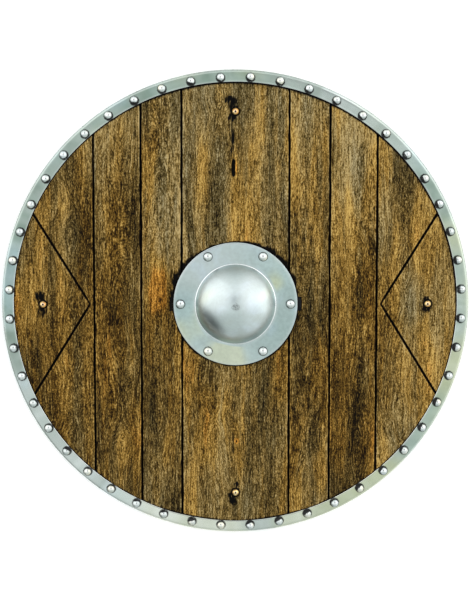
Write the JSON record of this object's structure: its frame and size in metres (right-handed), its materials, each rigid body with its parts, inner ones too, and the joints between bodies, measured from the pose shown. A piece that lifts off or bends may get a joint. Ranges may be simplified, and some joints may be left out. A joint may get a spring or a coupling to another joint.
{
  "type": "round shield",
  "caption": "Round wooden shield of upright boards with a riveted steel rim, a domed steel boss over the hand hole and a flat grip bar let in behind it.",
  "frame": {"origin": "centre of the shield in the plane that its back rim lies on", "axes": "+Z out of the front through the boss, +Y up along the boards, +X to the right seen from the front"},
  "size_m": [0.61, 0.61, 0.0433],
  "materials": {
    "stained_boards": "deeply brushed grain with dark stain rubbed back, satin",
    "rim_steel": "satin",
    "boss_steel": "satin",
    "rivet_steel": "polished on the crown",
    "black_iron": "blackened, dull",
    "nail_brass": "aged, worn bright on the crown"
  },
  "bodies": {
    "root": {"board_outer_left": "stained_boards", "board_middle_left": "stained_boards", "board_inner_left": "stained_boards", "board_centre": "stained_boards", "board_inner_right": "stained_boards", "board_middle_right": "stained_boards", "board_outer_right": "stained_boards", "rim": "rim_steel", "boss": "boss_steel", "boss_rivet_1": "rivet_steel", "boss_rivet_2": "rivet_steel", "boss_rivet_3": "rivet_steel", "boss_rivet_4": "rivet_steel", "boss_rivet_5": "rivet_steel", "boss_rivet_6": "rivet_steel", "grip": "black_iron", "nail_right": "nail_brass", "nail_top": "nail_brass", "nail_left": "nail_brass", "nail_bottom": "nail_brass"}
  },
  "joints": []
}
